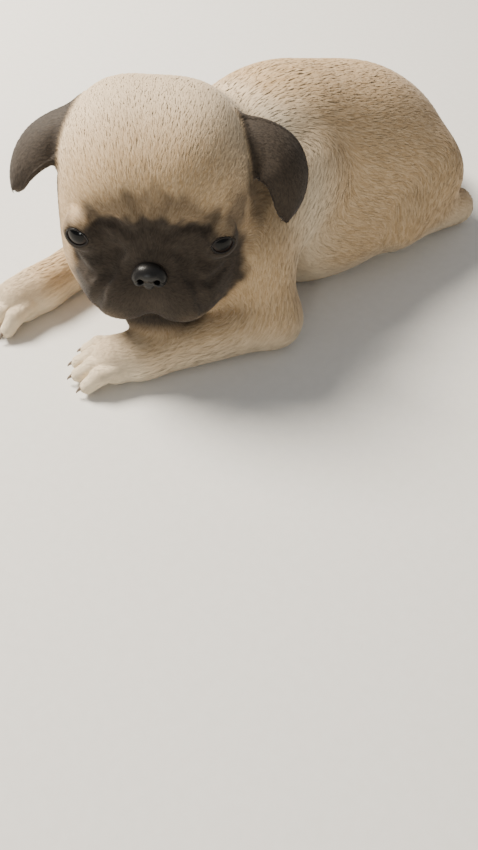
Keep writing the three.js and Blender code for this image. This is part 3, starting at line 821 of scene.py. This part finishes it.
def make_floor():
    """Matt painted board: pale, with a faint unevenness of the roller."""
    material, tree = new_material("matt_board")
    place = add(tree, "ShaderNodeTexCoord").outputs["Object"]
    grain = add(tree, "ShaderNodeTexNoise", {"Scale": 1 / 0.004, "Detail": 2.0}, Vector=place)
    whites = {"data_type": "RGBA", 6: linear("#dcdad4"), 7: linear("#e4e2dd")}
    colour = add(tree, "ShaderNodeMix", whites, n0=grain.outputs["Fac"]).outputs[2]
    shader = add(tree, "ShaderNodeBsdfPrincipled", {"Roughness": 0.9}, Base_Color=colour)
    add(tree, "ShaderNodeOutputMaterial", Surface=shader.outputs[0])
    return material


SKIN_FUR = make_skin_fur()
TUFT_FUR = make_tuft_fur()
WET_EYE = make_eye()
NOSE_LEATHER = make_nose_leather()
CLAW_HORN = make_claw_horn()
LID_LEATHER = make_lid_leather()

# ---------------------------------------------------------------- skin

FLESH = [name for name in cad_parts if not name.startswith(("claw_", "eye_", "nose"))]


def make_skin():
    """The one skin over all the flesh, with its markings and the way the strands of its fur run."""
    points, quads = surface(skin_form, *SKIN_BOX, SKIN_CELL)
    black, pale = markings(points)
    q = to_head(points)
    on_head = (head_form(q) < TRUNK(points)) & (np.linalg.norm(q, axis=1) < 70)
    away = q - HAIR_START
    radius = np.linalg.norm(away, axis=1)
    across = np.where(on_head[:, None], unit(away) * 45, points * (1, 0, 1))
    along = np.where(on_head, radius, points[:, 1]) * 0.25
    rng = np.random.default_rng(7)
    piece = mesh_piece(
        "skin", points, quads, SKIN_FUR, FLESH, "coat",
        black=black, pale=pale, along=along, tone=rng.random(len(points)) * 0.5,
    )
    mark = piece.data.attributes.new("across", "FLOAT_VECTOR", "POINT")
    mark.data.foreach_set("vector", across.astype(np.float32).ravel())
    return points, quads


SKIN_POINTS, SKIN_QUADS = make_skin()


# ---------------------------------------------------------------- eyes, nose and claws

def make_eyeball(side, s):
    """A ball of rings round the way it looks, with the bulge of the cornea at its front."""
    rings, spokes = 40, 48
    polar = np.linspace(0.001, math.pi - 0.001, rings)
    turn = np.arange(spokes) / spokes * 2 * math.pi
    a, t = np.meshgrid(polar, turn, indexing="ij")
    a, t = a.ravel(), t.ravel()
    gaze = unit(np.array((s * EYE_GAZE[0], *EYE_GAZE[1:])))
    right = unit(np.cross(gaze, (0, 0, 1)))
    up = np.cross(right, gaze)
    radius = EYE_SHOWN["radius"] * (1 + EYE_SHOWN["cornea"] * np.exp(-((a / 0.6) ** 2)))
    round_gaze = np.cos(t)[:, None] * right + np.sin(t)[:, None] * up
    way = np.cos(a)[:, None] * gaze + np.sin(a)[:, None] * round_gaze
    points = from_head(EYE_CENTRES[s] + way * radius[:, None])
    spoke = np.arange(spokes)
    after = (spoke + 1) % spokes
    quads = []
    for r in range(rings - 1):
        this, following = r * spokes, (r + 1) * spokes
        quads.append(np.stack([this + spoke, following + spoke, following + after, this + after], 1))
    quads = np.concatenate(quads)
    mesh_piece(f"eyeball_{side}", points, quads, WET_EYE, [f"eye_{side}"], "eyes", gaze=a / 1.6)


def make_lid_rim(side, s):
    """The bare rim of both lids: a thin ring that follows the opening and lies on the eyeball."""
    out, along, up = eye_axes(s)
    steps, spokes = 64, 10
    turn = np.arange(steps) / steps * 2 * math.pi
    x, upper = np.cos(turn), np.sin(turn) > 0
    gap = np.where(upper, 1, -1) * lid_gap(x, upper)
    reach = EYE_RADIUS + LID_THICK
    way = unit(out * reach + along * (x * EYE_OPENING["half_width"])[:, None] + up * gap[:, None])
    middle = EYE_CENTRES[s] + way * LID_RIM["out"]
    run = unit(np.roll(middle, -1, axis=0) - np.roll(middle, 1, axis=0))
    beside = np.cross(run, way)
    around = np.arange(spokes) / spokes * 2 * math.pi
    ring = np.cos(around)[:, None] * beside[:, None] + np.sin(around)[:, None] * way[:, None]
    points = (middle[:, None] + ring * LID_RIM["radius"]).reshape(-1, 3)
    a = np.arange(steps)[:, None] * spokes + np.arange(spokes)
    b = np.roll(a, -1, axis=1)
    quads = np.stack([a, b, np.roll(b, -1, axis=0), np.roll(a, -1, axis=0)], 2).reshape(-1, 4)
    mesh_piece(f"lid_rim_{side}", from_head(points), quads, LID_LEATHER)


for side, s in SIDES.items():
    make_eyeball(side, s)
    make_lid_rim(side, s)


def nose_form(p):
    """Nose leather: a broad top over two wings, with a nostril in each and a split down the middle."""
    q = to_head(p) - NOSE_AT
    top = ball((0, -0.2, 1.7), (5.6, 4.3, 3.7))
    wings = [ball((s * 3.9, -0.3, -0.7), (3.1, 4.0, 3.3)) for s in SIDES.values()]
    d = joined(1.5, top, *wings, ball((0, -0.4, -3), (2.5, 3.6, 2.5)))(q)
    for s in SIDES.values():
        d = carve(d, limb((s * 3.4, -5.2, -0.2), (s * 2.8, -1, 0), 1.4, 1.1)(q), 0.5)
        d = carve(d, limb((s * 4.4, -4.8, -0.6), (s * 7, -2, -2.2), 0.85, 0.5)(q), 0.5)
    return carve(d, limb((0, -5, 0.6), (0, -4, -5.6), 0.55, 0.65)(q), 0.6)


def make_nose():
    middle = from_head(NOSE_AT)
    points, quads = surface(nose_form, middle - 11, middle + 11, 0.4)
    mesh_piece("nose_tip", points, quads, NOSE_LEATHER, ["nose"], "nose")


make_nose()


CLAW_RINGS, CLAW_SPOKES = 9, 10


def claw_points(root, way):
    """Rings along a claw that starts inside the toe, tapers and bends down."""
    out = unit(np.array((way[0], way[1], 0.0)))
    side = np.array((-out[1], out[0], 0.0))
    up = np.array((0, 0, 1.0))
    along = np.linspace(-0.35, 1, CLAW_RINGS)
    points = []
    for t in along:
        r = CLAW["radius"] * (1 - 0.7 * max(t, 0))
        fall = math.radians(CLAW["drop"] * max(t, 0))
        height = 0.8 - CLAW["length"] * t * math.sin(fall) * 0.7
        at = root + out * CLAW["length"] * t * math.cos(fall) + up * height
        for n in range(CLAW_SPOKES):
            turn = 2 * math.pi * n / CLAW_SPOKES
            points.append(at + side * math.cos(turn) * r * 0.8 + up * math.sin(turn) * r)
    return np.array(points)


def make_claws():
    """The claws of each forepaw. Those of the hind feet are under the belly."""
    spoke = np.arange(CLAW_SPOKES)
    for side, leg in FORELEGS.items():
        at, turn = paw_place(leg, "wrist")
        points, quads, replaced = [], [], []
        for n, t in enumerate(TOES):
            replaced.append(f"claw_fore_{side}_{n + 1}")
            _, knuckle, tip = toe(t, FOREPAW)
            tip = turn @ np.array(tip) + at
            way = tip - (turn @ np.array(knuckle) + at)
            first = sum(map(len, points))
            points.append(claw_points(tip, way))
            for r in range(CLAW_RINGS - 1):
                a = first + r * CLAW_SPOKES + spoke
                b = first + r * CLAW_SPOKES + (spoke + 1) % CLAW_SPOKES
                quads.append(np.stack([a, b, b + CLAW_SPOKES, a + CLAW_SPOKES], 1))
            last = first + (CLAW_RINGS - 1) * CLAW_SPOKES
            cap = [[last + i, last + i + 1, last + 8 - i, last + 9 - i] for i in range(CLAW_SPOKES // 2 - 1)]
            quads.append(np.array(cap))
        claws = np.concatenate(points)
        claws[:, 2] = np.maximum(claws[:, 2], 0.2)
        mesh_piece(f"claws_fore_{side}", claws, np.concatenate(quads), CLAW_HORN, replaced, "claws")


make_claws()


# ---------------------------------------------------------------- coat

# Length and width of the locks in mm, and how many there are on a square millimetre
TUFTS = {
    "body": {"length": 7.5, "width": 0.75, "density": 0.75},
    "head": {"length": 4.5, "width": 0.55, "density": 1.3},
    "face": {"length": 2.4, "width": 0.4, "density": 2.2},
    "paw": {"length": 2.8, "width": 0.45, "density": 1.4},
    "ear": {"length": 2.6, "width": 0.4, "density": 1.7},
}
TUFTS_A_PIECE = 19900
# Thickness of a lock as a share of its width, how far its root sits in the skin, how far it strays
# from the lie of the coat, and how far its shade follows the skin and not its own three sides
TUFT_FLAT = 0.28
TUFT_SUNK = 0.25
TUFT_STRAY = 0.16
SKIN_SHADE = 0.88
# Corners of a lock's patch on the unwrap, 0.003 across
TUFT_PATCH = [
    (-0.0015, 0), (0.0015, 0), (0, 0.0005),
    (-0.0015, 0.0015), (0.0015, 0.0015), (0, 0.002),
    (0, 0.003),
]
TUFT_FACES = [
    (4, 1, 0), (3, 4, 0), (5, 2, 1), (4, 5, 1), (3, 0, 2), (5, 3, 2),
    (6, 4, 3), (6, 5, 4), (6, 3, 5), (0, 1, 2),
]


def tuft_regions(p):
    """Share of each kind of tuft at a point."""
    q = to_head(p)
    ear = 1 - between(1, 8, ears_form(q))
    on_head = 1 - between(-2, 6, head_form(q) - TRUNK(p))
    on_head *= (1 - between(52, 66, np.linalg.norm(q, axis=1))) * (1 - ear)
    face = on_head * (1 - between(-34, -14, q[:, 1] + 0.3 * np.maximum(q[:, 2], 0)))
    paw = paw_nearness(p)
    rest = (1 - on_head) * (1 - ear)
    return {"body": rest * (1 - paw), "head": on_head - face, "face": face, "paw": paw * rest, "ear": ear}


def shares(kind, regions):
    """A measure of the tufts, mixed from those of the regions that a point is in."""
    total = sum(regions.values())
    return sum(TUFTS[name][kind] * share for name, share in regions.items()) / np.maximum(total, 1e-6)


def roots(points, quads, rng):
    """Places for tufts, spread over the skin by the density of each region."""
    tri = np.concatenate([quads[:, [0, 1, 2]], quads[:, [0, 2, 3]]])
    a, b, c = (points[tri[:, n]] for n in range(3))
    normal = np.cross(b - a, c - a)
    area = np.linalg.norm(normal, axis=1) / 2
    middle = (a + b + c) / 3
    wanted = area * shares("density", tuft_regions(middle))
    wanted[(middle[:, 2] < 1.2)] = 0
    number = np.floor(wanted + rng.random(len(wanted))).astype(int)
    pick = np.repeat(np.arange(len(tri)), number)
    r1, r2 = np.sqrt(rng.random(len(pick))), rng.random(len(pick))
    return a[pick] * (1 - r1)[:, None] + b[pick] * (r1 * (1 - r2))[:, None] + c[pick] * (r1 * r2)[:, None]


def tuft_mesh(root, middle, tip, normals, width, thick):
    """Closed locks of three sides: a ring at the root, a wider ring at the middle and a point."""
    way = unit(tip - root)
    points = np.empty((len(root), 7, 3))
    for n, (at, scale) in enumerate(((root, 0.8), (middle, 1.0))):
        normal = normals[n]
        side = unit(np.cross(way, normal))
        points[:, n * 3] = at - side * (width * scale / 2)[:, None]
        points[:, n * 3 + 1] = at + side * (width * scale / 2)[:, None]
        points[:, n * 3 + 2] = at + normal * (thick * scale)[:, None]
    points[:, 6] = tip
    index = (np.arange(len(root)) * 7)[:, None, None] + np.array(TUFT_FACES)
    return points.reshape(-1, 3), index.reshape(-1, 3)


def unwrap(root, normal, low, high):
    """Place of each root on an unwrap of the skin: six charts, one for each way the skin faces."""
    chart = np.argmax(np.abs(normal), axis=1)
    sign = (normal[np.arange(len(root)), chart] > 0).astype(int)
    local = (root - low) / (high - low).max()
    others = np.array([(1, 2), (0, 2), (0, 1)])[chart]
    place = np.take_along_axis(local, others, axis=1)
    return (np.stack([chart, sign], 1) + 0.04 + place * 0.92) / (3, 2)


def over_rings(at_root, at_middle, at_tip):
    """Values for the seven points of each lock from those at its root, middle and tip."""
    return np.stack([at_root] * 3 + [at_middle] * 3 + [at_tip], 1)


def coat_piece(name, root, rng):
    """Locks of hair from their roots along the lie of the coat, bent round the skin."""
    regions = tuft_regions(root)
    length = shares("length", regions) * rng.uniform(0.75, 1.2, len(root))
    width = shares("width", regions) * rng.uniform(0.8, 1.25, len(root))
    normal = outward(skin_form, root)
    way = lie(root)
    way = way - normal * (way * normal).sum(1)[:, None]
    way = unit(way + TUFT_STRAY * rng.normal(size=way.shape))
    way = unit(way - normal * (way * normal).sum(1)[:, None])
    depth = coat_depth(root)
    lift_middle = depth * rng.uniform(0.15, 0.35, len(root))
    lift_tip = depth * rng.uniform(0.2, 0.65, len(root))
    middle = drawn_onto(skin_form, root + way * (length * 0.5)[:, None], 6, 2)
    middle_normal = outward(skin_form, middle)
    tip = drawn_onto(skin_form, middle + way * (length * 0.5)[:, None], 6, 2)
    tip_normal = outward(skin_form, tip)
    ends = (root, middle, tip)
    middle = middle + middle_normal * lift_middle[:, None]
    tip = tip + tip_normal * lift_tip[:, None]
    for part in (middle, tip):
        part[:, 2] = np.maximum(part[:, 2], 0.25)
    start = root - normal * TUFT_SUNK
    points, faces = tuft_mesh(start, middle, tip, (normal, middle_normal), width, width * TUFT_FLAT)
    black, pale = (over_rings(*values).ravel() for values in zip(*map(markings, ends)))
    tone = np.repeat(rng.random(len(root)), 7)
    piece = mesh_piece(name, points, faces, TUFT_FUR, (), "coat", black=black, pale=pale, tone=tone)
    smooth = over_rings(normal, middle_normal, tip_normal).reshape(-1, 3)
    facet = np.zeros((len(piece.data.vertices), 3), np.float32)
    piece.data.vertices.foreach_get("normal", facet.ravel())
    shade = unit(smooth * SKIN_SHADE + facet * (1 - SKIN_SHADE))
    piece.data.normals_split_custom_set_from_vertices(shade.tolist())
    corner = unwrap(root, normal, root.min(0), root.max(0))[:, None, :] + np.array(TUFT_PATCH)
    uv = piece.data.uv_layers.new(name="OFBake")
    uv.data.foreach_set("uv", corner.reshape(-1, 2)[faces.ravel()].astype(np.float32).ravel())


def make_coat():
    """The coat in pieces. Each root goes to the first piece in the list that it fits."""
    rng = np.random.default_rng(2024)
    root = roots(SKIN_POINTS, SKIN_QUADS, rng)
    q = to_head(root)
    on_ear = ears_form(q) < 1.5
    on_head = (head_form(q) < TRUNK(root)) & (np.linalg.norm(q, axis=1) < 60)
    fore = np.minimum(FORELEG_FORMS[0](root), FORELEG_FORMS[1](root)) < TRUNK(root) - 1
    rear = np.minimum(np.minimum(HINDLEG_FORMS[0](root), HINDLEG_FORMS[1](root)), TAIL_FORM(root))
    hind = rear < TRUNK(root) - 1
    kinds = {
        "coat_ears": on_ear,
        "coat_muzzle": on_head & (q[:, 1] < -22) & (q[:, 2] < 4),
        "coat_brow": on_head & (q[:, 1] < -14) & (q[:, 2] >= 4),
        "coat_crown": on_head,
        "coat_forelegs": fore,
        "coat_hindlegs": hind,
        "coat_neck": root[:, 1] < -52,
        "coat_back_left": root[:, 0] >= 0,
        "coat_back_right": root[:, 0] < 0,
    }
    left = np.ones(len(root), bool)
    for name, here in kinds.items():
        chosen = root[left & here]
        left &= ~here
        spread = rng.permutation(len(chosen))[:TUFTS_A_PIECE]
        coat_piece(name, chosen[spread], rng)


make_coat()

# ---------------------------------------------------------------- floor, light and camera

def make_floor_board():
    bm = bmesh.new()
    bmesh.ops.create_grid(bm, x_segments=2, y_segments=2, size=1.5)
    mesh = bpy.data.meshes.new("floor")
    bm.to_mesh(mesh)
    bm.free()
    mesh.materials.append(make_floor())
    board = bpy.data.objects.new("floor", mesh)
    bpy.context.scene.collection.objects.link(board)


make_floor_board()


LIT_POINT = (0, -0.03, 0.04)


def soft_light(name, place, size, power, colour):
    lamp = bpy.data.lights.new(name, "AREA")
    lamp.shape, lamp.size, lamp.energy, lamp.color = "DISK", size, power, linear(colour)[:3]
    holder = bpy.data.objects.new(name, lamp)
    holder.location = place
    aim = Vector(LIT_POINT) - Vector(place)
    holder.rotation_euler = aim.to_track_quat("-Z", "Y").to_euler()
    bpy.context.scene.collection.objects.link(holder)


# Light from a window high on the puppy's right, and a small one low in front that glints in the eyes
soft_light("window_light", (-0.80, -0.36, 1.0), 0.6, 56, "#fff6e8")
soft_light("fill_light", (0.86, -0.97, 0.32), 0.22, 3, "#f1f4f2")
world = bpy.data.worlds.new("room")
world.use_nodes = True
room = world.node_tree.nodes["Background"].inputs
room["Color"].default_value, room["Strength"].default_value = linear("#f1f2f4"), 0.42
bpy.context.scene.world = world

# The photo is 478 x 850 and looks down at 50 degrees from the puppy's front left
camera = bpy.data.cameras.new("camera")
camera.lens, camera.sensor_width = 31.17, 36
camera.clip_start, camera.clip_end = 0.01, 20
stand = bpy.data.objects.new("camera", camera)
stand.location = to_scene((252.5, -239.1, 235))
stand.rotation_euler = (math.radians(40), 0, math.radians(56))
bpy.context.scene.collection.objects.link(stand)
bpy.context.scene.camera = stand
